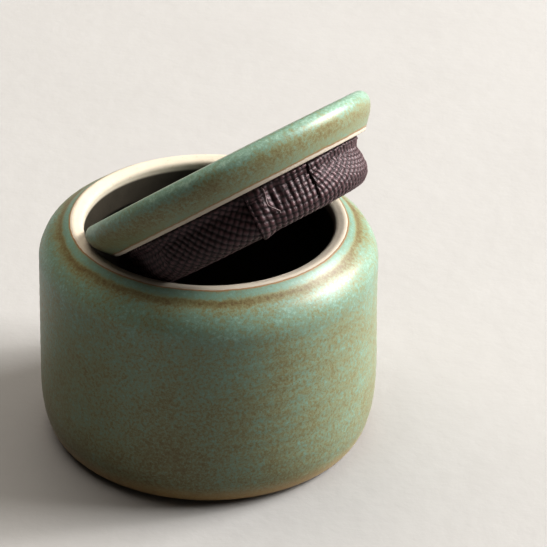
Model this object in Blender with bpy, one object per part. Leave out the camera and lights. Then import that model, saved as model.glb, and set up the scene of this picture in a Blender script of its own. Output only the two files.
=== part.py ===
"""Lidded stoneware inkwell with a cloth-covered stopper, its lid leaning in the open mouth.

Metres, +Z up, origin on the table under the middle of the pot. Sizes below are in millimetres.
The pot and every lid piece are turned shapes: a half outline spun about the piece's own axis.
The lid pieces are drawn with the lid level, z = 0 on its underside, and hang on one empty that
holds the leaning pose. Touching pieces keep a running gap of 0.3 mm.
"""
import math

import bmesh
import bpy
from mathutils import Matrix, Vector

MM = 0.001
GAP = 0.3

# Pot: a squat jar with a rounded shoulder, a low collar and a bare clay rim.
HEIGHT = 55.7
BELLY_R = 40.3
SHOULDER_R = 40.0
SHOULDER_Z = 46.5
BELLY_Z = 14.0
FOOT_R = 36.0
FOOT_INNER_R = 31.6
FOOT_RECESS = 2.0
FOOT_SLOPE = 1.5
FOOT_ROUND = 0.6
BASE_POWER = 2.2
SHOULDER_POWER = 1.6
ELLIPSE = 2.0
FLOOR_Z = 6.0
VALLEY_R = 34.4
VALLEY_DROP = 2.0
COLLAR_WIDTH = 1.5
COLLAR_FOOT = 0.6
RIM_R = 32.5
LAND_INNER_R = 30.0
LAND_DROP = 0.7
LIP_ROUND = 0.8
MOUTH_R = 29.4
NECK_LENGTH = 9.0
CHAMBER_R = 35.4
CHAMBER_TOP_Z = 36.0
CHAMBER_FILLET = 9.0

# Lid: a flared stoneware disc with a shallow socket in its underside for the stopper.
LID_EDGE_R = 32.4
LID_BARE_FLARE = 0.5
LID_BARE_H = 0.9
LID_R = 36.4
LID_FLARE_H = 6.7
LID_CORNER = 2.3
LID_DOME = 0.3
SOCKET_R = 24.5
SOCKET_DEPTH = 3.0

# Stopper: a turned core, felt on its side and base, and woven cloth drawn over all of it.
PLUG_R = 29.05
PLUG_DEPTH = 10.64
PLUG_CORNER = 4.4
PLUG_CORNER_AT = (PLUG_R - PLUG_CORNER, PLUG_CORNER - PLUG_DEPTH)
PLUG_WAIST = 0.35
PLUG_WAIST_AT = 2.2
PLUG_WAIST_H = 1.2
PLUG_FLARE = 0.75
PLUG_FLARE_H = 1.1
CLOTH = 0.7
NECK_R = SOCKET_R - GAP
CORE_R = 26.0
CORE_EDGE = 0.5
FELT_EDGE = 0.5
CORE_TOP = 1.7
CORE_DROP = 1.6
BASE_FELT = 1.1
GLUE_R = 22.0
THREAD_R = 0.3
HEM_R = 25.6

# The leaning pose: the lid's axis tips towards this azimuth, and its underside's middle is here.
LEAN_DEG = 38.5
LEAN_AZIMUTH_DEG = 139.0
LID_AT = (7.58, -6.66, 66.04)

SEGMENTS = 64
HIDDEN_SEGMENTS = 32
THREAD_SIDES = 6
WELD = 0.00001
SHARP_DEG = 35


def arc(centre, radius, start_deg, end_deg, steps):
    """Points on a circle about centre, from one angle to the other, both ends included."""
    turn = [math.radians(start_deg + (end_deg - start_deg) * i / steps) for i in range(steps + 1)]
    return [(centre[0] + radius * math.cos(a), centre[1] + radius * math.sin(a)) for a in turn]


def quarter(corner_r, corner_z, reach_r, reach_z, power, steps):
    """A superellipse quarter from (corner_r + reach_r, corner_z) to (corner_r, corner_z + reach_z)."""
    points = []
    for i in range(steps + 1):
        a = 0.5 * math.pi * i / steps
        across = max(math.cos(a), 0.0) ** (2.0 / power)
        up = max(math.sin(a), 0.0) ** (2.0 / power)
        points.append((corner_r + reach_r * across, corner_z + reach_z * up))
    return points


def material(name, colour, roughness):
    """A plain Principled material."""
    made = bpy.data.materials.new(name)
    made.use_nodes = True
    shader = made.node_tree.nodes["Principled BSDF"]
    shader.inputs["Base Color"].default_value = (*colour, 1.0)
    shader.inputs["Roughness"].default_value = roughness
    shader.inputs["Metallic"].default_value = 0.0
    return made


def turned(name, outline, segments, finish, closed=False, parent=None):
    """Spin a half outline, (radius, height) in millimetres, once round Z into a closed solid.

    An open outline starts and ends on the axis; a closed one is a loop beside it, for a ring.
    """
    form = bmesh.new()
    points = [form.verts.new((r * MM, 0.0, z * MM)) for r, z in outline]
    edges = [form.edges.new(pair) for pair in zip(points, points[1:])]
    if closed:
        edges.append(form.edges.new((points[-1], points[0])))
    bmesh.ops.spin(form, geom=points + edges, cent=(0, 0, 0), axis=(0, 0, 1), dvec=(0, 0, 0),
                   angle=2.0 * math.pi, steps=segments, use_merge=True, use_duplicate=False)
    bmesh.ops.remove_doubles(form, verts=form.verts, dist=WELD)
    bmesh.ops.recalc_face_normals(form, faces=form.faces)
    mesh = bpy.data.meshes.new(name)
    form.to_mesh(mesh)
    form.free()
    mesh.shade_smooth()
    mesh.set_sharp_from_angle(angle=math.radians(SHARP_DEG))
    mesh.materials.append(finish)
    piece = bpy.data.objects.new(name, mesh)
    piece.parent = parent
    bpy.context.scene.collection.objects.link(piece)
    return piece


def pot_outline():
    """From under the base, round the foot, up the outside, over the rim and down the inside."""
    foot = [(0.0, FOOT_RECESS), (FOOT_INNER_R - FOOT_SLOPE, FOOT_RECESS), (FOOT_INNER_R, 0.0),
            (FOOT_R - FOOT_ROUND, 0.0)]
    base = quarter(FOOT_R, BELLY_Z, BELLY_R - FOOT_R, FOOT_ROUND - BELLY_Z, BASE_POWER, 6)[::-1]
    valley_z = HEIGHT - VALLEY_DROP
    shoulder = quarter(VALLEY_R, SHOULDER_Z, SHOULDER_R - VALLEY_R, valley_z - SHOULDER_Z,
                       SHOULDER_POWER, 8)
    collar = quarter(RIM_R, valley_z + COLLAR_FOOT, COLLAR_WIDTH, VALLEY_DROP - COLLAR_FOOT,
                     ELLIPSE, 4)
    land_z = HEIGHT - LAND_DROP
    lip = quarter(LAND_INNER_R, land_z - LIP_ROUND, MOUTH_R - LAND_INNER_R, LIP_ROUND,
                  ELLIPSE, 3)[::-1]
    neck_z = HEIGHT - NECK_LENGTH
    roof = quarter(MOUTH_R, CHAMBER_TOP_Z, CHAMBER_R - MOUTH_R, neck_z - CHAMBER_TOP_Z,
                   ELLIPSE, 4)[::-1]
    bowl = quarter(CHAMBER_R - CHAMBER_FILLET, FLOOR_Z + CHAMBER_FILLET,
                   CHAMBER_FILLET, -CHAMBER_FILLET, ELLIPSE, 4)
    return foot + base + shoulder + collar + lip + roof + bowl + [(0.0, FLOOR_Z)]


def lid_outline():
    """From the socket's roof, out under the disc, up the flared side and over the domed top."""
    socket = [(0.0, SOCKET_DEPTH), (SOCKET_R - GAP, SOCKET_DEPTH), (SOCKET_R, SOCKET_DEPTH - GAP),
              (SOCKET_R, 0.0)]
    edge = [(LID_EDGE_R - GAP, 0.0), (LID_EDGE_R, GAP), (LID_EDGE_R + LID_BARE_FLARE, LID_BARE_H)]
    reach = LID_R - edge[-1][0]
    rise = LID_FLARE_H - LID_BARE_H
    side = [(edge[-1][0] + reach * math.sin(0.5 * math.pi * t), LID_BARE_H + rise * t)
            for t in (0.2, 0.4, 0.6, 0.8)]
    corner = arc((LID_R - LID_CORNER, LID_FLARE_H), LID_CORNER, 0, 90, 5)
    rim_r, rim_z = corner[-1]
    dome = [(rim_r * k, rim_z + LID_DOME * (1 - k * k)) for k in (0.75, 0.5, 0.25, 0.0)]
    return socket + edge + side + corner + dome


def plug_outline(inset):
    """Side and base of the stopper, from under the lid to the axis, moved in by inset.

    The side has a slight waist just under the lid and flares out where it meets it.
    """
    side = []
    for depth in (GAP, 0.8, 1.6, 2.4, 3.4, PLUG_DEPTH - PLUG_CORNER):
        flare = PLUG_FLARE * math.exp(-(depth / PLUG_FLARE_H) ** 2)
        waist = PLUG_WAIST * math.exp(-((depth - PLUG_WAIST_AT) / PLUG_WAIST_H) ** 2)
        side.append((PLUG_R + flare - waist - inset, -depth))
    corner = arc(PLUG_CORNER_AT, PLUG_CORNER - inset, 0, -90, 5)[1:]
    return side + corner + [(0.0, inset - PLUG_DEPTH)]


def cloth_outline():
    """From the middle of the base up the cloth's inner face to the hem, and back down its outer face."""
    outer = plug_outline(0.0)
    under = -GAP - CLOTH
    inner = [(r, z) for r, z in plug_outline(CLOTH) if z < under - GAP][::-1]
    turn_r = inner[-1][0]
    return inner + [(turn_r, under - GAP), (turn_r - GAP, under), (HEM_R, under), (HEM_R, -GAP)] + outer


def core_outline(bottom):
    """A disc with a narrower neck that plugs into the lid's socket."""
    return [(0.0, bottom), (CORE_R, bottom), (CORE_R, -CORE_DROP - CORE_EDGE),
            (CORE_R - CORE_EDGE, -CORE_DROP), (NECK_R, -CORE_DROP), (NECK_R, CORE_TOP - GAP),
            (NECK_R - GAP, CORE_TOP), (0.0, CORE_TOP)]


def felt_outlines(top, bottom):
    """The side ring and the base disc: both keep clear of the cloth's rounded lower corner."""
    corner_r, corner_z = PLUG_CORNER_AT
    radius = PLUG_CORNER - CLOTH - GAP
    side_r = corner_r + radius - PLUG_WAIST
    ring_foot_r = corner_r + math.sqrt(radius ** 2 - (bottom - corner_z) ** 2) - PLUG_WAIST
    ring = [(CORE_R + GAP, bottom), (ring_foot_r, bottom), (side_r, corner_z), (side_r, top - FELT_EDGE),
            (side_r - FELT_EDGE, top), (CORE_R + GAP, top)]
    disc_top = bottom - GAP
    start = math.degrees(math.asin((disc_top - corner_z) / radius))
    disc = [(0.0, disc_top)] + arc(PLUG_CORNER_AT, radius, start, -90, 4) + [(0.0, corner_z - radius)]
    return ring, disc


def main():
    for old in list(bpy.data.objects):
        bpy.data.objects.remove(old, do_unlink=True)

    glaze = material("sage_glaze", (0.24, 0.33, 0.24), 0.38)
    cork = material("cork", (0.50, 0.33, 0.19), 0.85)
    felt = material("felt", (0.42, 0.40, 0.37), 0.95)
    cloth = material("aubergine_cloth", (0.07, 0.035, 0.035), 0.75)
    thread = material("linen_thread", (0.55, 0.48, 0.38), 0.80)
    glue = material("clear_glue", (0.70, 0.62, 0.42), 0.30)

    lean = math.radians(LEAN_AZIMUTH_DEG)
    tip_axis = Vector((-math.sin(lean), math.cos(lean), 0.0))
    lid = bpy.data.objects.new("lid_pose", None)
    lid.matrix_world = (Matrix.Translation(Vector(LID_AT) * MM)
                        @ Matrix.Rotation(math.radians(LEAN_DEG), 4, tip_axis))
    bpy.context.scene.collection.objects.link(lid)

    turned("pot_body", pot_outline(), SEGMENTS, glaze)
    turned("lid_disc", lid_outline(), SEGMENTS, glaze, parent=lid)

    glue_top = SOCKET_DEPTH - GAP
    glue_base = CORE_TOP + GAP
    turned("glue_bed", [(0.0, glue_base), (GLUE_R, glue_base), (GLUE_R, glue_top), (0.0, glue_top)],
           HIDDEN_SEGMENTS, glue, parent=lid)

    core_bottom = CLOTH + GAP - PLUG_DEPTH + BASE_FELT + GAP
    turned("stopper_core", core_outline(core_bottom), HIDDEN_SEGMENTS, cork, parent=lid)
    ring, disc = felt_outlines(-CORE_DROP, core_bottom)
    turned("padding_ring", ring, HIDDEN_SEGMENTS, felt, closed=True, parent=lid)
    turned("padding_disc", disc, HIDDEN_SEGMENTS, felt, parent=lid)
    turned("stopper_cloth", cloth_outline(), SEGMENTS, cloth, parent=lid)

    thread_at = (0.5 * (NECK_R + HEM_R), -GAP - 0.5 * CLOTH)
    loop = arc(thread_at, THREAD_R, 0, 360, THREAD_SIDES)[:-1]
    turned("gathering_thread", loop, HIDDEN_SEGMENTS, thread, closed=True, parent=lid)


main()
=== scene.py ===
import math

import bpy
import numpy as np
from mathutils import Matrix, Vector


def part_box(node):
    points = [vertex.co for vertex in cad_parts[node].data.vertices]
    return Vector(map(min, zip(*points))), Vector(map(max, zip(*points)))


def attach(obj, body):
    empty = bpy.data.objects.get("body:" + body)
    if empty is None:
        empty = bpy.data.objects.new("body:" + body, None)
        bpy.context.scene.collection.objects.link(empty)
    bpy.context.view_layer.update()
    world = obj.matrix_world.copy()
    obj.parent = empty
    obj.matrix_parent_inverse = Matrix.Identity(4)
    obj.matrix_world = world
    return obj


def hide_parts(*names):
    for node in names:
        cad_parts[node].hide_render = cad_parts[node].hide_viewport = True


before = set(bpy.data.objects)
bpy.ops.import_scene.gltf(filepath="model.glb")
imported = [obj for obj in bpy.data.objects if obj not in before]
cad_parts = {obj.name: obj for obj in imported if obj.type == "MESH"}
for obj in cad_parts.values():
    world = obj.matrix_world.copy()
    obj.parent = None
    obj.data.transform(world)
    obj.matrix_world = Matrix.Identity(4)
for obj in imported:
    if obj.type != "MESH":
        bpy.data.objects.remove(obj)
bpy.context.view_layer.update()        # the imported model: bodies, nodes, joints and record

MM = 0.001


# ---------------------------------------------------------------------------------------------
# Pot: thrown on the wheel in pale stoneware clay, its shoulder turned over to a low collar.
# Dipped in an ash glaze that pools blue-green and breaks brown where it runs thin, and lined in
# near-black glaze. The rim is wiped back to bare clay, so the lid doesn't stick in the firing.

BELLY_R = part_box("pot_body")[1].x / MM
RIM_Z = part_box("pot_body")[1].z / MM
SHOULDER_R, SHOULDER_Z, BELLY_Z = 40.0, 46.5, 14.0
FOOT_R, FOOT_INNER_R, FOOT_RECESS, FOOT_ROUND, FLOOR_Z = 36.0, 31.6, 2.0, 0.6, 6.0
RIM_R, VALLEY_R, VALLEY_Z = 32.5, 34.4, RIM_Z - 2.0
LAND_R, LAND_Z, LIP_ROUND = 30.0, RIM_Z - 0.7, 0.8
MOUTH_R, NECK_Z = 29.4, RIM_Z - 9.0
CHAMBER_R, CHAMBER_Z, CHAMBER_FILLET = 35.4, 36.0, 9.0
FOOT_BEVEL, BASE_POWER, SHOULDER_POWER, ELLIPSE = 1.5, 2.2, 1.6, 2.0
COLLAR_FLARE, COLLAR_START = 1.5, 0.6
POT_STEP, POT_COLUMNS = 0.72, 320
CORNER_TURN = math.radians(24)


def quarter(corner, reach, power, steps=24):
    """A superellipse quarter at a corner: cos^(2/p) times the reach across, sin^(2/p) times it up."""
    a = np.linspace(0.0, 0.5 * math.pi, steps)
    across = corner[0] + reach[0] * np.clip(np.cos(a), 0, 1) ** (2 / power)
    up = corner[1] + reach[1] * np.clip(np.sin(a), 0, 1) ** (2 / power)
    return np.stack([across, up], 1)


def way_along(outline):
    """How far along the outline each of its points is, in its own units."""
    return np.r_[0.0, np.cumsum(np.linalg.norm(np.diff(outline, axis=0), axis=1))]


def even(outline, step):
    """The outline again as points about one step apart along it, with its sharp corners kept."""
    outline = outline[np.r_[True, np.linalg.norm(np.diff(outline, axis=0), axis=1) > 1e-6]]
    run, way = np.diff(outline, axis=0), way_along(outline)
    turn = np.abs(np.angle(np.exp(1j * np.diff(np.arctan2(run[:, 1], run[:, 0])))))
    corners = way[1:-1][turn > CORNER_TURN]
    at = np.unique(np.r_[np.linspace(0, way[-1], int(way[-1] / step) + 2), corners])
    at = at[np.r_[True, np.diff(at) > 1e-4]]
    return np.stack([np.interp(at, way, outline[:, k]) for k in (0, 1)], 1)


def spun(outline, columns):
    """Rings of points: each outline point (radius, height) at even angles round Z."""
    turn = np.arange(columns) * 2 * math.pi / columns
    radius, height = outline[:, :1], outline[:, 1:]
    return np.stack(np.broadcast_arrays(radius * np.cos(turn), radius * np.sin(turn), height), 2)


def solid(name, points, quads, triangles=()):
    """A smooth mesh object in metres, from points in millimetres and arrays of corner numbers."""
    triangles = np.asarray(triangles, int).reshape(-1, 3)
    mesh = bpy.data.meshes.new(name)
    corners = np.r_[quads.ravel(), triangles.ravel()]
    starts = np.r_[4 * np.arange(len(quads)), 4 * len(quads) + 3 * np.arange(len(triangles))]
    mesh.vertices.add(len(points))
    mesh.vertices.foreach_set("co", (points * MM).astype(np.float32).ravel())
    mesh.loops.add(len(corners))
    mesh.loops.foreach_set("vertex_index", corners.astype(np.int32))
    mesh.polygons.add(len(starts))
    mesh.polygons.foreach_set("loop_start", starts.astype(np.int32))
    mesh.update(calc_edges=True)
    mesh.shade_smooth()
    piece = bpy.data.objects.new(name, mesh)
    bpy.context.scene.collection.objects.link(piece)
    return piece


def ring_quads(rows, columns, looped=False):
    """Quads between neighbouring rings, each joined round to its start; looped joins last to first."""
    row = np.arange(rows if looped else rows - 1)[:, None]
    column = np.arange(columns)[None, :]
    beside, above = (column + 1) % columns, (row + 1) % rows
    quads = [row * columns + column, row * columns + beside,
             above * columns + beside, above * columns + column]
    return np.stack(np.broadcast_arrays(*quads), 2).reshape(-1, 4)


def capped(name, rings, first, last):
    """Rings of points joined by quads, and closed at each end by a fan of triangles to one point."""
    rows, columns = rings.shape[:2]
    column = np.arange(columns)
    beside, top = (column + 1) % columns, (rows - 1) * columns
    start, end = np.full(columns, rows * columns), np.full(columns, rows * columns + 1)
    fans = np.r_[np.stack([start, beside, column], 1), np.stack([end, top + column, top + beside], 1)]
    points = np.concatenate([rings.reshape(-1, 3), [first, last]])
    return solid(name, points, ring_quads(rows, columns), fans)


def turned(name, outline, columns, placed):
    """A closed turned solid from an outline that starts and ends on the axis.

    placed takes points in the shape's own frame, z along its axis, and returns them where they go.
    """
    rings = spun(outline, columns)
    rings = placed(rings.reshape(-1, 3)).reshape(rings.shape)
    return capped(name, rings[1:-1], rings[0, 0], rings[-1, 0])


def from_glaze_line(piece, outline, line, columns, onward):
    """Stores for each point how many millimetres of surface lie between it and the glaze's edge.

    onward is 1 where the outline runs from clay onto glaze, and -1 where it runs off it.
    """
    way = way_along(outline)
    past = onward * (way - way[np.argmin(np.hypot(*(outline - line).T))])
    past = np.r_[np.repeat(past[1:-1], columns), past[0], past[-1]]
    piece.data.attributes.new("from_edge", "FLOAT", "POINT").data.foreach_set(
        "value", past.astype(np.float32))


foot = np.array([(0.0, FOOT_RECESS), (FOOT_INNER_R - FOOT_BEVEL, FOOT_RECESS), (FOOT_INNER_R, 0.0),
                 (FOOT_R - FOOT_ROUND, 0.0)])
base = quarter((FOOT_R, BELLY_Z), (BELLY_R - FOOT_R, FOOT_ROUND - BELLY_Z), BASE_POWER)[::-1]
shoulder = quarter((VALLEY_R, SHOULDER_Z), (SHOULDER_R - VALLEY_R, VALLEY_Z - SHOULDER_Z),
                   SHOULDER_POWER)
collar = quarter((RIM_R, VALLEY_Z + COLLAR_START), (COLLAR_FLARE, RIM_Z - VALLEY_Z - COLLAR_START),
                 ELLIPSE)
lip = quarter((LAND_R, LAND_Z - LIP_ROUND), (MOUTH_R - LAND_R, LIP_ROUND), ELLIPSE)[::-1]
roof = quarter((MOUTH_R, CHAMBER_Z), (CHAMBER_R - MOUTH_R, NECK_Z - CHAMBER_Z), ELLIPSE)[::-1]
bowl = quarter((CHAMBER_R - CHAMBER_FILLET, FLOOR_Z + CHAMBER_FILLET),
               (CHAMBER_FILLET, -CHAMBER_FILLET), ELLIPSE)
pot_outline = even(np.concatenate([foot, base, shoulder, collar, lip, roof, bowl, [(0.0, FLOOR_Z)]]),
                   POT_STEP)
WALL = way_along(np.concatenate([base, shoulder, collar]))[-1]

# glaze fills the groove between shoulder and collar: near it each point of the outline moves
# most of the way to the middle of its neighbours, ten times over
VALLEY_SPREAD, VALLEY_ROUNDS, VALLEY_SHARE = 3.2, 10, 0.8
from_valley = np.hypot(*(pot_outline - (VALLEY_R, VALLEY_Z)).T)[1:-1, None]
in_groove = pot_outline[1:-1, :1] > RIM_R + 0.1
filled = VALLEY_SHARE * np.exp(-(from_valley / VALLEY_SPREAD) ** 4) * in_groove
for _ in range(VALLEY_ROUNDS):
    halfway = 0.5 * (pot_outline[:-2] + pot_outline[2:]) - pot_outline[1:-1]
    pot_outline[1:-1] += filled * halfway


SPIRAL_DEEP, SPIRAL_PITCH = 0.028, 3.4
BULGE, BULGE_Z, BULGE_TALL, BULGE_TURN = 0.42, 19.0, 11.0, -0.25


def thrown(points):
    """The potter's hand, added to the radius of the outer wall.

    Slow swells are cosines of two and three turns a round, the fingertips' faint spiral is a sine
    of the height plus the turn, and one side bulges low down as a Gaussian of the height.
    """
    x, y, z = points.T
    radius, turn = np.hypot(x, y), np.arctan2(y, x)
    swell = 0.12 * np.cos(2 * turn + 0.7) + 0.09 * np.cos(3 * turn + 2.1 + z / 18)
    spiral = SPIRAL_DEEP * np.sin(2 * math.pi * z / SPIRAL_PITCH + turn)
    bulge = BULGE * np.exp(-((z - BULGE_Z) / BULGE_TALL) ** 2)
    bulge = bulge * np.clip(np.cos(turn - BULGE_TURN), 0, 1) ** 2
    weight = np.clip((radius - 35.0) / 3.0, 0, 1) * np.clip(z / 3.0, 0, 1)
    grown = 1 + weight * (swell + spiral + bulge) / np.maximum(radius, 1.0)
    return np.stack([x * grown, y * grown, z], 1)


pot = turned("pot", pot_outline, POT_COLUMNS, thrown)
from_glaze_line(pot, pot_outline, (RIM_R, RIM_Z), POT_COLUMNS, -1)


class Wire:
    """A shader value: + - and * with another one or a number add Math nodes to its finish."""

    def __init__(self, finish, socket):
        self.finish = finish
        self.socket = socket

    def math(self, operation, first, second):
        return self.finish.node("ShaderNodeMath", {"operation": operation}, {0: first, 1: second})

    def __add__(self, other):
        return self.math("ADD", self, other)

    def __mul__(self, other):
        return self.math("MULTIPLY", self, other)

    def __sub__(self, other):
        return self.math("SUBTRACT", self, other)

    def __rsub__(self, other):
        return self.math("SUBTRACT", other, self)

    __radd__ = __add__
    __rmul__ = __mul__


class Finish:
    """A material being mixed: node() adds any node and returns one of its outputs as a Wire."""

    def __init__(self, name):
        self.material = bpy.data.materials.new(name)
        self.material.use_nodes = True
        self.tree = self.material.node_tree

    def node(self, kind, settings=(), sockets=(), out=0):
        """Adds a node: settings first, then a value or a Wire for each socket, by name or number."""
        made = self.tree.nodes.new(kind)
        for key, value in dict(settings).items():
            if key == "stops":
                while len(made.color_ramp.elements) < len(value):
                    made.color_ramp.elements.new(1.0)
                for element, (place, colour) in zip(made.color_ramp.elements, value):
                    element.position = place
                    element.color = (*colour, 1.0)
            else:
                setattr(made, key, value)
        self.feed(made, dict(sockets))
        return Wire(self, made.outputs[out])

    def feed(self, node, sockets):
        """Links or sets a node's inputs."""
        for key, value in sockets.items():
            if isinstance(value, Wire):
                self.tree.links.new(value.socket, node.inputs[key])
            elif node.inputs[key].type == "RGBA":
                node.inputs[key].default_value = (*value, 1.0)
            else:
                node.inputs[key].default_value = value

    def place(self):
        """Where a point is on the object, in metres."""
        return self.node("ShaderNodeTexCoord", out="Object")

    def stored(self, name):
        """A number that the mesh holds for each of its points."""
        return self.node("ShaderNodeAttribute", {"attribute_name": name}, out="Fac")

    def spread(self, where, scale, turn=(0, 0, 0)):
        """Coordinates multiplied by scale along each axis, after a turn."""
        return self.node("ShaderNodeMapping", {"vector_type": "POINT"},
                         {"Vector": where, "Rotation": turn, "Scale": scale})

    def noise(self, where, size, detail=2.0, rough=0.5):
        """Noise from 0 to 1, its blotches about size millimetres across."""
        return self.node("ShaderNodeTexNoise", {"noise_dimensions": "3D"},
                         {"Vector": where, "Scale": 1 / (size * MM), "Detail": detail,
                          "Roughness": rough})

    def rise(self, value, low, high):
        """0 up to low, 1 from high, and a smooth rise between."""
        return self.node("ShaderNodeMapRange", {"interpolation_type": "SMOOTHSTEP"},
                         {"Value": value, "From Min": low, "From Max": high})

    def blend(self, share, first, second):
        """The first colour where share is 0, the second where it is 1."""
        return self.node("ShaderNodeMix", {"data_type": "RGBA"}, {0: share, 6: first, 7: second}, 2)

    def ramp(self, value, stops):
        """A colour or a grey level read off stops of (place, colour)."""
        return self.node("ShaderNodeValToRGB", {"stops": stops}, {0: value})

    def bump(self, height, distance):
        """A normal that follows height, in units of distance millimetres."""
        return self.node("ShaderNodeBump", (), {"Height": height, "Distance": distance * MM})

    def dress(self, pieces, **sockets):
        """Feeds the Principled shader and puts the material on the pieces, in place of any other."""
        named = {key.replace("_", " "): value for key, value in sockets.items()}
        self.feed(self.tree.nodes["Principled BSDF"], named)
        for piece in pieces:
            piece.data.materials.clear()
            piece.data.materials.append(self.material)


MINT, TEAL, SAGE = (0.258, 0.342, 0.280), (0.150, 0.236, 0.190), (0.182, 0.202, 0.124)
OLIVE, RUST, SCORCH = (0.162, 0.144, 0.070), (0.118, 0.083, 0.039), (0.260, 0.148, 0.070)
# the ochre is the thin glaze's own colour at the foot, made brighter as painted bounce light from the
# table
OCHRE_WITH_PAINTED_BOUNCE = (0.480, 0.310, 0.142)
CLAY, CLAY_SHADE, CLAY_SPECK = (0.440, 0.400, 0.340), (0.385, 0.343, 0.282), (0.34, 0.25, 0.17)
LINER_DEEP, LINER_THIN = (0.034, 0.029, 0.022), (0.060, 0.051, 0.039)
LINER_FROM, LINER_FULL = 4.6, 5.4
GRAIN_SIZE, CLOUD_SIZE, DRIFT_SIZE, FLECK_SIZE = 0.80, 7.0, 24.0, 0.6
GRAIN_SHARE, CLOUD_SHARE, DRIFT_SHARE = 1.30, 0.30, 0.24
CLAY_ROUGH, WET_ROUGH, GLAZE_COAT, COAT_ROUGH, GLAZE_SPECULAR = 0.78, -0.42, 0.11, 0.28, 0.31
GLAZE_RELIEF, EDGE_STEP = 0.11, 1.1


def ash_glaze(name, reach, thickness, glaze_end):
    """The breaking glaze and the bare clay beside it, on pieces that store from_edge.

    thickness is stops of (millimetres past the glaze's edge, how thick it lies) over reach. Thick
    glaze is mint and teal, thinner is sage and olive, and the thinnest rust. Blotches come from
    adding grain and clouds of noise to it. The glaze stops again at glaze_end millimetres, and
    turns ochre in the last few before that: partly the thin glaze's own colour, and partly
    painted bounce light from the table, which makes that band brighter.
    Returns the finish, the colour, the glaze's mask, the distance past its edge and the grain.
    """
    finish = Finish(name)
    where, past = finish.place(), finish.stored("from_edge")
    grain = finish.noise(where, GRAIN_SIZE, 5.0, 0.78)
    cloud = finish.noise(where, CLOUD_SIZE, 3.0, 0.55) - 0.5
    drift = finish.noise(where, DRIFT_SIZE, 1.0) - 0.5
    fleck = finish.noise(where, FLECK_SIZE, 2.0, 0.6)
    shifted = past + 1.8 * cloud
    level = finish.ramp(shifted * (1 / reach), [(at / reach, 3 * (value,)) for at, value in thickness])
    mottled = 0.50 + 0.50 * finish.rise(past, 1.8, 3.6)
    blotches = GRAIN_SHARE * (grain - 0.5) + CLOUD_SHARE * cloud + DRIFT_SHARE * drift
    depth = level + mottled * blotches
    colour = finish.ramp(depth, [(0.14, RUST), (0.36, OLIVE), (0.52, SAGE), (0.66, TEAL), (0.90, MINT)])
    colour = finish.blend(0.35 * finish.rise(fleck, 0.60, 0.74), colour, RUST)
    # near the foot the glaze turns ochre: partly its own colour, partly painted bounce light from the
    # table
    colour = finish.blend(0.80 * finish.rise(shifted, glaze_end - 8.0, glaze_end - 1.0), colour, OCHRE_WITH_PAINTED_BOUNCE)
    wobble = past + 0.30 * (finish.noise(where, 1.3, 2.0) - 0.5) + 0.5 * cloud
    wet = finish.rise(wobble, 0.0, 0.10)
    wet = wet * (1 - finish.rise(wobble, glaze_end, glaze_end + 0.3))
    colour = finish.blend(1 - finish.rise(wobble, 0.12, 0.60), colour, SCORCH)
    body = finish.blend(finish.noise(where, 2.6, 3.0), CLAY_SHADE, CLAY)
    body = finish.blend(0.4 * finish.rise(fleck, 0.64, 0.72), body, CLAY_SPECK)
    return finish, finish.blend(wet, body, colour), wet, past, grain


finish, colour, wet, past, grain = ash_glaze("pot_glaze_fired", WALL, [
    (0.0, 0.58), (1.3, 0.68), (2.2, 0.60), (2.9, 0.28), (3.5, 0.30), (4.8, 0.50), (7.0, 0.61),
    (11.0, 0.61), (15.0, 0.56), (24.0, 0.52), (WALL - 16, 0.47), (WALL - 7, 0.42),
    (WALL - 2, 0.36), (WALL, 0.34)], WALL - 0.4)
lined = finish.rise(0.0 - past, LINER_FROM, LINER_FULL)
liner = finish.blend(finish.noise(finish.place(), 3.0, 3.0), LINER_DEEP, LINER_THIN)
throwing = finish.node("ShaderNodeTexWave", {"bands_direction": "Z", "wave_profile": "SIN"},
                       {"Vector": finish.place(), "Scale": 95.0, "Distortion": 2.5, "Detail": 2.0})
rough = CLAY_ROUGH + WET_ROUGH * wet - 0.34 * lined
finish.dress([pot], Base_Color=finish.blend(lined, colour, liner), Roughness=rough + 0.10 * grain,
             Coat_Weight=GLAZE_COAT * wet + 0.3 * lined, Coat_Roughness=COAT_ROUGH,
             Specular_IOR_Level=GLAZE_SPECULAR,
             Normal=finish.bump(0.45 * grain + 0.12 * throwing + EDGE_STEP * wet, GLAZE_RELIEF))
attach(pot, "pot")
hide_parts("pot_body")


# ---------------------------------------------------------------------------------------------
# Lid: a flared disc of the same clay with a shallow socket turned in its underside, glazed over
# its top and side and left bare below, so a thin line of cream clay shows at its lower edge.
# It leans in the mouth, and every lid piece is worked out level and then put in its leaning place.

LID_EDGE_R, BARE_H, LID_R, FLARE_H = 32.4, 0.9, 36.4, 6.7
LID_CORNER, LID_DOME, SOCKET_R, SOCKET_DEPTH = 2.3, 0.3, 24.5, 3.0
EASED, BARE_FLARE = 0.3, 0.5
LID_STEP, LID_COLUMNS = 0.6, 320
CAMERA_RISE = math.radians(30.43)

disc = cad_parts["lid_disc"].data.vertices
level = np.empty(3 * len(disc))
disc.foreach_get("co", level)
level = level.reshape(-1, 3) / MM
LID_AXIS = np.linalg.svd(level - level.mean(0), full_matrices=False)[2][2]
LID_AXIS = LID_AXIS * np.sign(LID_AXIS[2])
middle = level.mean(0)
LID_AT = middle - LID_AXIS * (middle @ LID_AXIS - (level @ LID_AXIS).min())
facing = np.array([0.0, -math.cos(CAMERA_RISE), math.sin(CAMERA_RISE)])
facing = facing - LID_AXIS * (facing @ LID_AXIS)
LID_FRONT = facing / np.linalg.norm(facing)
LID_RIGHT = np.cross(LID_AXIS, LID_FRONT)


def leaning(points):
    """From the lid's own frame, x to its front and y to its right, to its place in the mouth."""
    return LID_AT + points @ np.stack([LID_FRONT, LID_RIGHT, LID_AXIS])


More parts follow.
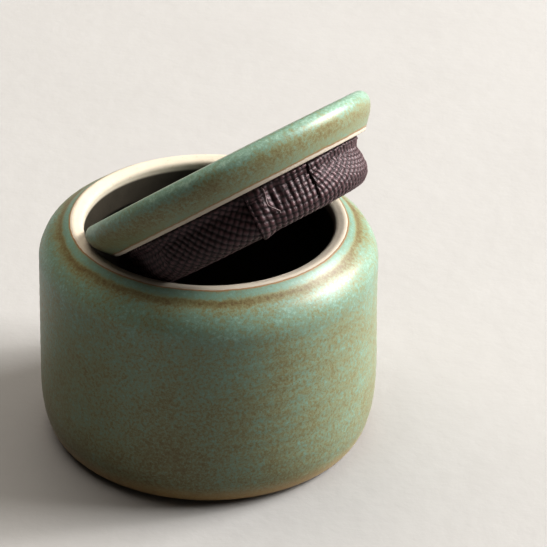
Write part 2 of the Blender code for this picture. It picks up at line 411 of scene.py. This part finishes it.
rise = np.linspace(0, 1, 24)[:, None]
flare_r = LID_EDGE_R + BARE_FLARE
side = np.concatenate([flare_r + (LID_R - flare_r) * np.sin(0.5 * math.pi * rise),
                       BARE_H + (FLARE_H - BARE_H) * rise], 1)
corner = quarter((LID_R - LID_CORNER, FLARE_H), (LID_CORNER, LID_CORNER), ELLIPSE)
out = np.linspace(1, 0, 24)[:, None]
dome = np.concatenate([(LID_R - LID_CORNER) * out, FLARE_H + LID_CORNER + LID_DOME * (1 - out ** 2)], 1)
under = np.array([(0.0, SOCKET_DEPTH), (SOCKET_R - EASED, SOCKET_DEPTH),
                  (SOCKET_R, SOCKET_DEPTH - EASED), (SOCKET_R, 0.0), (LID_EDGE_R - EASED, 0.0),
                  (LID_EDGE_R, EASED)])
lid_outline = even(np.concatenate([under, side, corner, dome]), LID_STEP)
lid = turned("lid", lid_outline, LID_COLUMNS, leaning)
from_glaze_line(lid, lid_outline, side[0], LID_COLUMNS, 1)
LID_GLAZE = way_along(np.concatenate([side, corner, dome]))[-1]

finish, colour, wet, past, grain = ash_glaze("lid_glaze_fired", LID_GLAZE, [
    (0.0, 0.46), (0.9, 0.55), (2.0, 0.51), (3.4, 0.43), (5.4, 0.43), (6.9, 0.60), (8.6, 0.72),
    (12.0, 0.60), (20.0, 0.56), (LID_GLAZE, 0.52)], LID_GLAZE + 20)
finish.dress([lid], Base_Color=colour, Roughness=CLAY_ROUGH + WET_ROUGH * wet + 0.10 * grain,
             Coat_Weight=GLAZE_COAT * wet, Coat_Roughness=COAT_ROUGH,
             Specular_IOR_Level=GLAZE_SPECULAR,
             Normal=finish.bump(0.45 * grain + EDGE_STEP * wet, GLAZE_RELIEF))
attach(lid, "lid")
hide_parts("lid_disc")


# ---------------------------------------------------------------------------------------------
# Stopper core and its bed: a disc of pressed cork whose neck plugs into the lid's socket, on a
# bed of clear glue. Cork is crushed bark, so its granules differ in tone and leave small voids.

GRANULE = 1.6
VOID, BARK_DARK = (0.12, 0.06, 0.03), (0.20, 0.11, 0.05)
BARK, BARK_PALE = (0.46, 0.29, 0.15), (0.62, 0.43, 0.25)
finish = Finish("pressed_cork")
where = finish.place()
cells = {"Vector": where, "Scale": 1 / (GRANULE * MM), "Randomness": 1.0}
tone = finish.node("ShaderNodeTexVoronoi", {"feature": "F1"}, cells, "Color")
gaps = finish.node("ShaderNodeTexVoronoi", {"feature": "DISTANCE_TO_EDGE"}, cells, "Distance")
tone = finish.node("ShaderNodeSeparateColor", (), {"Color": tone})
bark = finish.ramp(0.7 * tone + 0.3 * finish.noise(where, 0.4, 2.0),
                   [(0.1, BARK_DARK), (0.4, BARK), (0.9, BARK_PALE)])
seam = finish.rise(gaps, 0.01, 0.06)
finish.dress([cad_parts["stopper_core"]], Base_Color=finish.blend(seam, VOID, bark),
             Roughness=0.80 + 0.12 * tone, Normal=finish.bump(seam + 0.3 * tone, 0.12))

GLUE_THICK, GLUE_THIN = (0.52, 0.40, 0.20), (0.72, 0.62, 0.38)
finish = Finish("set_glue")
where = finish.place()
pooled = finish.noise(where, 4.0, 3.0)
finish.dress([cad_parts["glue_bed"]],
             Base_Color=finish.blend(pooled, GLUE_THICK, GLUE_THIN),
             Roughness=0.18 + 0.25 * finish.noise(where, 1.2, 2.0),
             Normal=finish.bump(pooled, 0.15))


# ---------------------------------------------------------------------------------------------
# Padding: grey wool felt that makes the stopper a soft, snug fit, in a band round the core's
# side and a disc under its base, both cut from sheet and eased at their edges.

PLUG_R, PLUG_DEPTH, PLUG_CORNER = 29.05, 10.64, 4.4
CORE_R, CORE_DROP, BASE_FELT = 26.0, 1.6, 1.1
CLOTH, GAP = 0.7, 0.3
PLUG_CORNER_R, PLUG_CORNER_Z = PLUG_R - PLUG_CORNER, PLUG_CORNER - PLUG_DEPTH
BASE_Z = CLOTH + GAP - PLUG_DEPTH
RING_EASE, RING_POWER, RING_ROWS = 0.45, 5.0, 64
DISC_R, DISC_EDGE, DISC_POWER = 24.2, 1.1, 2.4
FELT_STEP, FELT_COLUMNS = 0.5, 160
FELT_DARK, FELT_GREY, FELT_PALE = (0.24, 0.23, 0.21), (0.42, 0.40, 0.37), (0.58, 0.56, 0.52)


def lumpy(points):
    """Felt is never dead flat: its radius has waves of a twentieth of a millimetre; then placed.

    The waves are a sine of one slant across the felt times a cosine of another.
    """
    x, y, z = points.T
    swell = 0.05 * np.sin(1.3 * x + 0.7 * y) * np.cos(1.1 * y - 0.8 * z + 0.5)
    grown = 1 + swell / np.maximum(np.hypot(x, y), 1.0)
    return leaning(np.stack([x * grown, y * grown, z], 1))


def banded(name, middle, reach, power, rows, columns, placed):
    """A closed ring: a superellipse section about middle (radius, height), carried round the axis."""
    a = np.arange(rows) * 2 * math.pi / rows
    section = np.stack([np.sign(np.cos(a)) * np.abs(np.cos(a)) ** (2 / power),
                        np.sign(np.sin(a)) * np.abs(np.sin(a)) ** (2 / power)], 1)
    rings = spun(np.array(middle) + section * reach, columns)
    return solid(name, placed(rings.reshape(-1, 3)), ring_quads(rows, columns, True))


ring_top, ring_foot = -CORE_DROP, BASE_Z + BASE_FELT + GAP
ring_in, ring_out = CORE_R + GAP, PLUG_R - CLOTH - GAP - RING_EASE
felt_ring = banded("felt_ring", (0.5 * (ring_in + ring_out), 0.5 * (ring_top + ring_foot)),
                   (0.5 * (ring_out - ring_in), 0.5 * (ring_top - ring_foot)), RING_POWER,
                   RING_ROWS, FELT_COLUMNS, lumpy)
half = 0.5 * (BASE_FELT - 0.02)
disc_edge = quarter((DISC_R, BASE_Z + half), (DISC_EDGE, half), DISC_POWER, 10)
disc_foot = quarter((DISC_R, BASE_Z + half), (DISC_EDGE, -half), DISC_POWER, 10)[::-1]
disc_outline = np.concatenate([[(0.0, BASE_Z)], disc_foot, disc_edge[1:], [(0.0, BASE_Z + 2 * half)]])
felt_disc = turned("felt_disc", even(disc_outline, FELT_STEP), FELT_COLUMNS, lumpy)

finish = Finish("wool_felt")
where = finish.place()
fibres = finish.noise(finish.spread(where, (0.35, 1.0, 1.0), (0.4, 0.3, 0.8)), 0.25, 4.0, 0.7)
crossing = finish.noise(finish.spread(where, (1.0, 0.35, 1.0), (0.2, 0.7, 0.1)), 0.25, 4.0, 0.7)
matted = 0.5 * fibres + 0.5 * crossing
finish.dress([felt_ring, felt_disc], Base_Color=finish.ramp(
    matted, [(0.3, FELT_DARK), (0.5, FELT_GREY), (0.7, FELT_PALE)]),
    Roughness=0.90 + 0.08 * matted, Sheen_Weight=0.35, Sheen_Roughness=0.5,
    Normal=finish.bump(matted, 0.25))
for felt, node in ((felt_ring, "padding_ring"), (felt_disc, "padding_disc")):
    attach(felt, "lid")
    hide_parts(node)


# ---------------------------------------------------------------------------------------------
# Stopper cloth: one disc of coarse plain-woven aubergine yarn drawn up over the padding, with its
# edge gathered on a thread and turned in under the lid. The spare width lies in flat pleats that
# open from the base's rounded edge, and one pulled loop of yarn stands loose beside a pleat.

YARN_PITCH, POINTS_PER_YARN = 1.4, 6
CRIMP, BEAD, BEAD_HALF = 0.28, 0.24, 0.51
PLY, FOLD_ROUND, INSET = 0.36, 0.35, 0.44
HEM_R, HEM_Z, HEM_TURN = 25.7, -0.24, 0.14
GRAIN = math.radians(27)
PLEATS = np.radians([-48, 0, 32.5, 104, 140, 172, 204, 240, 276])
FOLD_FOOT = np.array([9.0, 30.0, 6.6, 9.0, 8.0, 9.0, 8.5, 9.0, 8.0])
FOLD_STAYS = np.array([0.0, 0.7, 0.1, 0.0, 0.0, 0.0, 0.0, 0.0, 0.0])
FOLD_PLY = PLY * np.array([0.7, 1.1, 0.62, 1.0, 1.0, 1.0, 1.0, 1.0, 1.0])
PULLED_ROUND = np.radians([0.0, -5.6, 1.6, 0.0, 0.0, 0.0, 0.0, 0.0, 0.0])
FLARE, FLARE_TALL = 1.5, 0.9
WAIST, WAIST_Z, WAIST_TALL = 0.38, -2.3, 1.2
FURROW_DEEP, FURROW_AT, FURROW_SPREAD, FURROW_FIRST, FURROW_PITCH = 0.34, 14.5, 7.0, 11, 4.3
RUN_STEP, FOLD_REACH, FOLD_FADE, TUCK_DROP, TUCK_EASE = 0.05, 6.0, 4.0, 0.55, (0.3, 4.0)


def side_radius(z):
    """The stopper's side: an exponential flare up to the lid, less a Gaussian waist just below."""
    return PLUG_R + FLARE * np.exp(z / FLARE_TALL) - WAIST * np.exp(-((z - WAIST_Z) / WAIST_TALL) ** 2)


def smooth(value, low, high):
    """0 up to low, 1 from high, and 3t^2 - 2t^3 between."""
    t = np.clip((value - low) / (high - low), 0, 1)
    return t * t * (3 - 2 * t)


height = np.linspace(PLUG_CORNER_Z, HEM_Z - HEM_TURN, 40)
wall = np.stack([side_radius(height) - INSET, height], 1)
turn_in = quarter((wall[-1, 0] - HEM_TURN, wall[-1, 1]), (HEM_TURN, HEM_TURN), ELLIPSE)
round_edge = quarter((PLUG_CORNER_R, PLUG_CORNER_Z), (PLUG_CORNER - INSET, INSET - PLUG_CORNER),
                     ELLIPSE)
run = np.concatenate([[(0.0, INSET - PLUG_DEPTH)], round_edge[::-1], wall[1:], turn_in[1:],
                      [(HEM_R, HEM_Z)]])
CUT_R = way_along(run)[-1]
run = even(run, RUN_STEP)
run_way = way_along(run)
TOP_WAY = CUT_R - (wall[-1, 0] - HEM_TURN - HEM_R)

# which way is outward along the run, averaged over nine of its points
EITHER_SIDE = 4
window = np.ones(2 * EITHER_SIDE + 1) / (2 * EITHER_SIDE + 1)
tangent = np.gradient(run, run_way, axis=0)
facing_r = np.convolve(np.pad(tangent[:, 1], EITHER_SIDE, "edge"), window, "valid")
facing_z = np.convolve(np.pad(-tangent[:, 0], EITHER_SIDE, "edge"), window, "valid")

# the flat cloth: a square grid with its lines along the yarns
points_out = int(CUT_R / YARN_PITCH * POINTS_PER_YARN)
grid = np.arange(-points_out, points_out + 1) * YARN_PITCH / POINTS_PER_YARN
p, q = np.meshgrid(grid, grid, indexing="ij")
kept = np.hypot(p, q) <= CUT_R
square = np.arange(p.size).reshape(p.shape)
quads = np.stack([square[:-1, :-1], square[:-1, 1:], square[1:, 1:], square[1:, :-1]], 2)
quads = quads.reshape(-1, 4)
quads = quads[kept.ravel()[quads].all(1)]
used, quads = np.unique(quads, return_inverse=True)
quads = quads.reshape(-1, 4)
p, q = p.ravel()[used], q.ravel()[used]


def yarns(across, along, sign):
    """One set of yarns: a centreline that weaves up and down as a sine, with an elliptical back."""
    number = np.floor(across / YARN_PITCH)
    centre = sign * CRIMP * (1 - 2 * (number % 2)) * np.sin(math.pi * along / YARN_PITCH)
    off = (across / YARN_PITCH - number - 0.5) / BEAD_HALF
    uneven = 1 + 0.10 * np.sin(12.9898 * number) + 0.06 * np.sin(0.9 * along + 4.1 * number)
    return centre + BEAD * uneven * np.sqrt(np.clip(1 - off ** 2, 0, 1))


warp, weft = yarns(p, q, 1.0), yarns(q, p, -1.0)
relief = np.maximum(warp, weft)

# each gore between two pleats keeps its width, and its spare runs under its neighbour
rho, phi = np.hypot(p, q), np.arctan2(q, p) + GRAIN
phi = (phi - PLEATS[0]) % (2 * math.pi) + PLEATS[0]
ends = np.r_[PLEATS, PLEATS[0] + 2 * math.pi]
gore = np.clip(np.searchsorted(ends, phi, "right") - 1, 0, len(PLEATS) - 1)
left, right = ends[gore], ends[gore + 1]
widths = np.diff(ends)
spare = 0.25 * (widths + np.roll(widths, 1))
spare_left, spare_right = spare[gore], spare[(gore + 1) % len(PLEATS)]
around = np.interp(rho, run_way, run[:, 0])
gathered = np.maximum(rho / np.maximum(around, 0.01), 1.0) - 1
share = (phi - left) / (right - left)
full = right - left + gathered * (spare_left + spare_right)
climbed = np.clip((rho - PLUG_CORNER_R) / (TOP_WAY - PLUG_CORNER_R), 0, 1)
natural = left - gathered * spare_left + share * full + PULLED_ROUND[gore] * climbed
past_fold = (natural - left) * around
tucked = gathered * spare_left * around
depth = -np.interp(rho, run_way, run[:, 1])
open_fold = 1 - smooth(depth, FOLD_FOOT[gore] - 1.8, FOLD_FOOT[gore])
fold = FOLD_ROUND * smooth(tucked, 0.0, 1.0) * open_fold
bend = np.sqrt(past_fold ** 2 + fold ** 2 + 1e-9)
from_fold = bend - fold * np.exp(-(past_fold / FOLD_FADE) ** 2)
turned_back = natural - left < 0
angle = np.where(past_fold < FOLD_REACH, left + from_fold / np.maximum(around, 0.01), natural)
hidden = turned_back | (natural > right)
ply = FOLD_PLY[gore] * smooth(tucked + FOLD_STAYS[gore], 0.0, 1.0) * open_fold
over = 2 * ply * (1 - smooth(from_fold, tucked + TUCK_EASE[0], tucked + TUCK_EASE[1]))
lift = np.where(natural > right, 0.0, over - 0.5 * ply * (1 - past_fold / bend))
lift = lift - TUCK_DROP * hidden * (1 - open_fold)

# tension furrows and small gathers near the thread, strongest beside the pleat at the front
turn = np.degrees(angle)
pulled = np.exp(-((turn - FURROW_AT) / FURROW_SPREAD) ** 2)
pulled = pulled * smooth(depth, 0.2, 1.0) * (1 - smooth(depth, 3.8, 6.6))
furrows = 0.5 + 0.5 * np.cos(2 * math.pi * (turn - FURROW_FIRST) / FURROW_PITCH)
furrows = -FURROW_DEEP * pulled * furrows
gathers = 0.09 * np.exp(-(depth / 2.2) ** 2) * np.sin(1.15 * turn + 1.7 * np.sin(0.21 * turn))
swell = 0.10 * np.sin(0.061 * turn + 0.8) * smooth(rho, PLUG_CORNER_R, PLUG_CORNER_R + 6)
flat_in = 1 - smooth(rho, TOP_WAY - 0.35, TOP_WAY + 0.25)
bead = relief * np.where(hidden, 0.3, 1.0) * (0.25 + 0.75 * flat_in) * (1 - 0.35 * pulled)
out = (lift + furrows + gathers + swell) * flat_in + bead
radius = around + out * np.interp(rho, run_way, facing_r)
level = -depth + out * np.interp(rho, run_way, facing_z)
cloth_points = np.stack([radius * np.cos(angle), radius * np.sin(angle), level], 1)
cloth = solid("cloth", leaning(cloth_points), quads)

weave = cloth.data.uv_layers.new(name="yarns")
flat = np.stack([p, q], 1) / (2 * CUT_R) + 0.5
weave.data.foreach_set("uv", flat[quads.ravel()].astype(np.float32).ravel())
# raised drives the painted shade down the yarns' flanks and in the gaps, and the tops' smoother finish
low, high = 0.02, CRIMP + BEAD
for name, values in (("raised", (relief - low) / (high - low)), ("warp_up", warp > weft)):
    cloth.data.attributes.new(name, "FLOAT", "POINT").data.foreach_set(
        "value", values.astype(np.float32))

# YARN_LIGHT is the yarn's own aubergine on the beads' tops; the two darker colours are painted shade
# down the yarns' flanks and in the gaps between them
YARN_GAP_PAINTED_SHADE, YARN_FLANK_PAINTED_SHADE = (0.003, 0.0015, 0.0015), (0.024, 0.0108, 0.0120)
YARN_LIGHT, YARN_SHEEN = (0.080, 0.039, 0.043), (0.85, 0.62, 0.68)
FIBRE, FIBRE_STRETCH, FIBRE_SPIN = 0.16, 0.22, math.radians(24)
finish = Finish("aubergine_weave")
flat_place = finish.node("ShaderNodeUVMap", {"uv_map": "yarns"})
flat_place = finish.spread(flat_place, (2 * CUT_R * MM,) * 3)
on_warp = finish.spread(flat_place, (1.0, FIBRE_STRETCH, 1.0), (0, 0, FIBRE_SPIN))
on_warp = finish.noise(on_warp, FIBRE, 3.0, 0.6)
on_weft = finish.spread(flat_place, (FIBRE_STRETCH, 1.0, 1.0), (0, 0, FIBRE_SPIN))
on_weft = finish.noise(on_weft, FIBRE, 3.0, 0.6)
up = finish.stored("warp_up")
fibre = up * on_warp + (1 - up) * on_weft
raised = finish.stored("raised")
patchy = finish.noise(flat_place, 3.5, 2.0)
# painted shade: the colour darkens as the stored relief falls, down the flanks into the gaps, with the
# fibres' and patches' own tone added
shade = raised * 0.90 + 0.38 * (fibre - 0.5) + 0.20 * (patchy - 0.5)
dye_and_painted_shade = finish.ramp(shade, [(0.34, YARN_GAP_PAINTED_SHADE), (0.64, YARN_FLANK_PAINTED_SHADE), (0.96, YARN_LIGHT)])
finish.dress([cloth], Base_Color=dye_and_painted_shade, Roughness=0.66 - 0.28 * raised + 0.2 * (fibre - 0.5),
             Sheen_Weight=0.13, Sheen_Roughness=0.35, Sheen_Tint=YARN_SHEEN,
             Specular_IOR_Level=0.42, Specular_Tint=(1.0, 0.86, 0.89),
             Normal=finish.bump(fibre, 0.08))
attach(cloth, "lid")
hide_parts("stopper_cloth")


def plied(angle):
    """A two-ply yarn's radius as a share of its thickest: |cos| of the angle, dipping by a quarter."""
    return 0.76 + 0.24 * np.abs(np.cos(angle))


def swept(name, path, outward, radius, sides, lay):
    """A twisted yarn: plied rings across the path, which turn once for each lay millimetres of it."""
    ahead = np.gradient(path, axis=0)
    ahead = ahead / np.linalg.norm(ahead, axis=1, keepdims=True)
    beside = np.cross(ahead, outward)
    beside = beside / np.linalg.norm(beside, axis=1, keepdims=True)
    above = np.cross(beside, ahead)
    a = np.arange(sides) * 2 * math.pi / sides
    reach = radius * plied(a - 2 * math.pi * way_along(path)[:, None] / lay)
    across = np.cos(a)[:, None] * above[:, None] + np.sin(a)[:, None] * beside[:, None]
    rings = leaning((path[:, None] + reach[..., None] * across).reshape(-1, 3)).reshape(across.shape)
    return capped(name, rings, rings[0].mean(0), rings[-1].mean(0))


# the loose yarn wanders down the side in sines, drifts right at its lower end, and dips in at both
LOOP_AT, LOOP_WANDER, LOOP_DRIFT, LOOP_TOP, LOOP_LONG = 8.4, 0.55, 2.6, -0.55, 6.9
LOOSE_R, LOOSE_LAY = 0.20, 2.2
# the loose yarn is the cloth's aubergine yarn; its lighter colours are painted highlight for the light
# the raised strand catches
LOOSE_PAINTED_LIT_MID, LOOSE_PAINTED_HIGHLIGHT = (0.115, 0.078, 0.080), (0.165, 0.120, 0.120)
t = np.linspace(0, 1, 160)
loop_turn = LOOP_AT + LOOP_WANDER * np.sin(2 * math.pi * (1.2 * t + 0.05))
loop_turn = np.radians(loop_turn + LOOP_DRIFT * smooth(t, 0.55, 1.0))
loop_z = LOOP_TOP - LOOP_LONG * t
loop_lift = 2 * PLY + 0.62 + 0.16 * np.sin(2 * math.pi * 1.7 * t + 0.6)
loop_lift = loop_lift - 0.7 * (1 - smooth(t, 0, 0.08)) - 0.9 * smooth(t, 0.92, 1.0)
loop_r = side_radius(loop_z) - INSET + loop_lift
path = np.stack([loop_r * np.cos(loop_turn), loop_r * np.sin(loop_turn), loop_z], 1)
loop_out = np.stack([np.cos(loop_turn), np.sin(loop_turn), 0 * t], 1)
loose_yarn = swept("loose_yarn", path, loop_out, LOOSE_R, 14, LOOSE_LAY)

finish = Finish("aubergine_yarn")
where = finish.place()
fibre = finish.noise(where, 0.14, 3.0, 0.65)
# lighter than the cloth: painted highlight on the loose strand, mixed with the fibres' own tone
finish.dress([loose_yarn], Base_Color=finish.ramp(
    0.6 * fibre + 0.4 * finish.noise(where, 0.7, 2.0),
    [(0.25, YARN_LIGHT), (0.50, LOOSE_PAINTED_LIT_MID), (0.75, LOOSE_PAINTED_HIGHLIGHT)]),
    Roughness=0.45 + 0.2 * fibre, Sheen_Weight=0.4, Sheen_Roughness=0.35,
    Normal=finish.bump(fibre, 0.06))
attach(loose_yarn, "lid")


# ---------------------------------------------------------------------------------------------
# Gathering thread: two-ply linen run round the cloth's edge and drawn tight under the lid, which
# pulls the spare width into its pleats and is then trapped by the glued core.

THREAD_R, THREAD_LOOP_R, THREAD_Z, THREAD_TURNS = 0.3, 24.9, -0.65, 72
THREAD_ROWS, THREAD_COLUMNS = 20, 720
LINEN_DARK, LINEN_MID, LINEN_PALE = (0.34, 0.27, 0.18), (0.55, 0.47, 0.35), (0.70, 0.63, 0.50)
section = np.arange(THREAD_ROWS)[:, None] * 2 * math.pi / THREAD_ROWS
along = np.arange(THREAD_COLUMNS)[None, :] * 2 * math.pi / THREAD_COLUMNS
reach = THREAD_R * plied(section - THREAD_TURNS * along)
loop = THREAD_LOOP_R + reach * np.cos(section)
rings = np.stack([loop * np.cos(along), loop * np.sin(along), THREAD_Z + reach * np.sin(section)], 2)
thread = solid("linen_thread", leaning(rings.reshape(-1, 3)),
               ring_quads(THREAD_ROWS, THREAD_COLUMNS, True))

finish = Finish("linen")
where = finish.place()
fibre = finish.noise(where, 0.12, 3.0, 0.65)
finish.dress([thread], Base_Color=finish.ramp(
    fibre, [(0.3, LINEN_DARK), (0.5, LINEN_MID), (0.7, LINEN_PALE)]),
    Roughness=0.62 + 0.2 * fibre, Normal=finish.bump(fibre, 0.05))
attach(thread, "lid")
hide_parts("gathering_thread")


# ---------------------------------------------------------------------------------------------
# Stage: a broad pale plaster table, faintly clouded, with soft daylight from a window low on the
# right, a smaller brighter patch of it, and a weak fill from behind and from the pale room.

TABLE_REACH, TABLE_TICKS = 3000.0, 61
LAMPS_AIM_Z = 0.04
PLASTER_DULL, PLASTER = (0.276, 0.272, 0.267), (0.304, 0.301, 0.297)
ROOM_COLOUR, ROOM_STRENGTH = (0.93, 0.87, 0.80, 1.0), 0.080
ticks = np.linspace(-TABLE_REACH, TABLE_REACH, TABLE_TICKS)
x, y = np.meshgrid(ticks, ticks, indexing="ij")
square = np.arange(x.size).reshape(x.shape)
quads = np.stack([square[:-1, :-1], square[1:, :-1], square[1:, 1:], square[:-1, 1:]], 2)
table = solid("table", np.stack([x.ravel(), y.ravel(), np.zeros(x.size)], 1), quads.reshape(-1, 4))
finish = Finish("pale_plaster")
where = finish.place()
clouds = 0.6 * finish.noise(where, 38.0, 3.0) + 0.4 * finish.noise(where, 6.0, 4.0, 0.6)
finish.dress([table], Base_Color=finish.blend(clouds, PLASTER_DULL, PLASTER),
             Roughness=0.80 + 0.1 * clouds, Normal=finish.bump(clouds, 0.35))


def lamp(name, azimuth, rise, far, size, watts, colour, mirrored=True):
    """A square area lamp on a sphere round the object's middle, turned to face it."""
    made = bpy.data.lights.new(name, "AREA")
    made.shape = "SQUARE"
    made.size = size
    made.energy = watts
    made.color = colour
    holder = bpy.data.objects.new(name, made)
    a, e = math.radians(azimuth), math.radians(rise)
    away = Vector((math.cos(a) * math.cos(e), math.sin(a) * math.cos(e), math.sin(e)))
    holder.location = Vector((0, 0, LAMPS_AIM_Z)) + away * far
    holder.rotation_euler = away.to_track_quat("Z", "Y").to_euler()
    holder.visible_glossy = mirrored
    bpy.context.scene.collection.objects.link(holder)


lamp("window", azimuth=13, rise=31, far=3.0, size=1.8, watts=296, colour=(1.0, 0.99, 0.975))
lamp("sun_patch", azimuth=14, rise=34, far=3.0, size=0.30, watts=36, colour=(1.0, 0.985, 0.97))
lamp("back_wall", azimuth=125, rise=70, far=3.0, size=3.0, watts=126, colour=(1.0, 0.93, 0.85),
     mirrored=False)
room = bpy.data.worlds.new("room")
room.use_nodes = True
room.node_tree.nodes["Background"].inputs["Color"].default_value = ROOM_COLOUR
room.node_tree.nodes["Background"].inputs["Strength"].default_value = ROOM_STRENGTH
bpy.context.scene.world = room
bpy.context.scene.view_settings.view_transform = "Standard"
bpy.context.scene.view_settings.gamma = 0.80


# ---------------------------------------------------------------------------------------------
# Camera: a long lens looking down on the rim by thirty degrees, aimed a little to the right of the
# pot's axis so that the leaning lid fits in, with a slight roll.

LENS, CAMERA_FAR, CAMERA_ROLL = 171.1, 617.8, math.radians(1.10)
AIM = np.array([15.38, 0.0, 40.86])
forward = np.array([0.0, math.cos(CAMERA_RISE), -math.sin(CAMERA_RISE)])
upward = np.array([0.0, math.sin(CAMERA_RISE), math.cos(CAMERA_RISE)])
rightward = np.array([1.0, 0.0, 0.0])
cos_roll, sin_roll = math.cos(CAMERA_ROLL), math.sin(CAMERA_ROLL)
axes = np.stack([rightward * cos_roll + upward * sin_roll, upward * cos_roll - rightward * sin_roll,
                 -forward], 1)
lens = bpy.data.cameras.new("camera")
lens.lens, lens.sensor_width = LENS, 36.0
lens.clip_start, lens.clip_end = 0.01, 20.0
camera = bpy.data.objects.new("camera", lens)
camera.matrix_world = Matrix(axes.tolist()).to_4x4()
camera.location = (AIM - forward * CAMERA_FAR) * MM
bpy.context.scene.collection.objects.link(camera)
bpy.context.scene.camera = camera
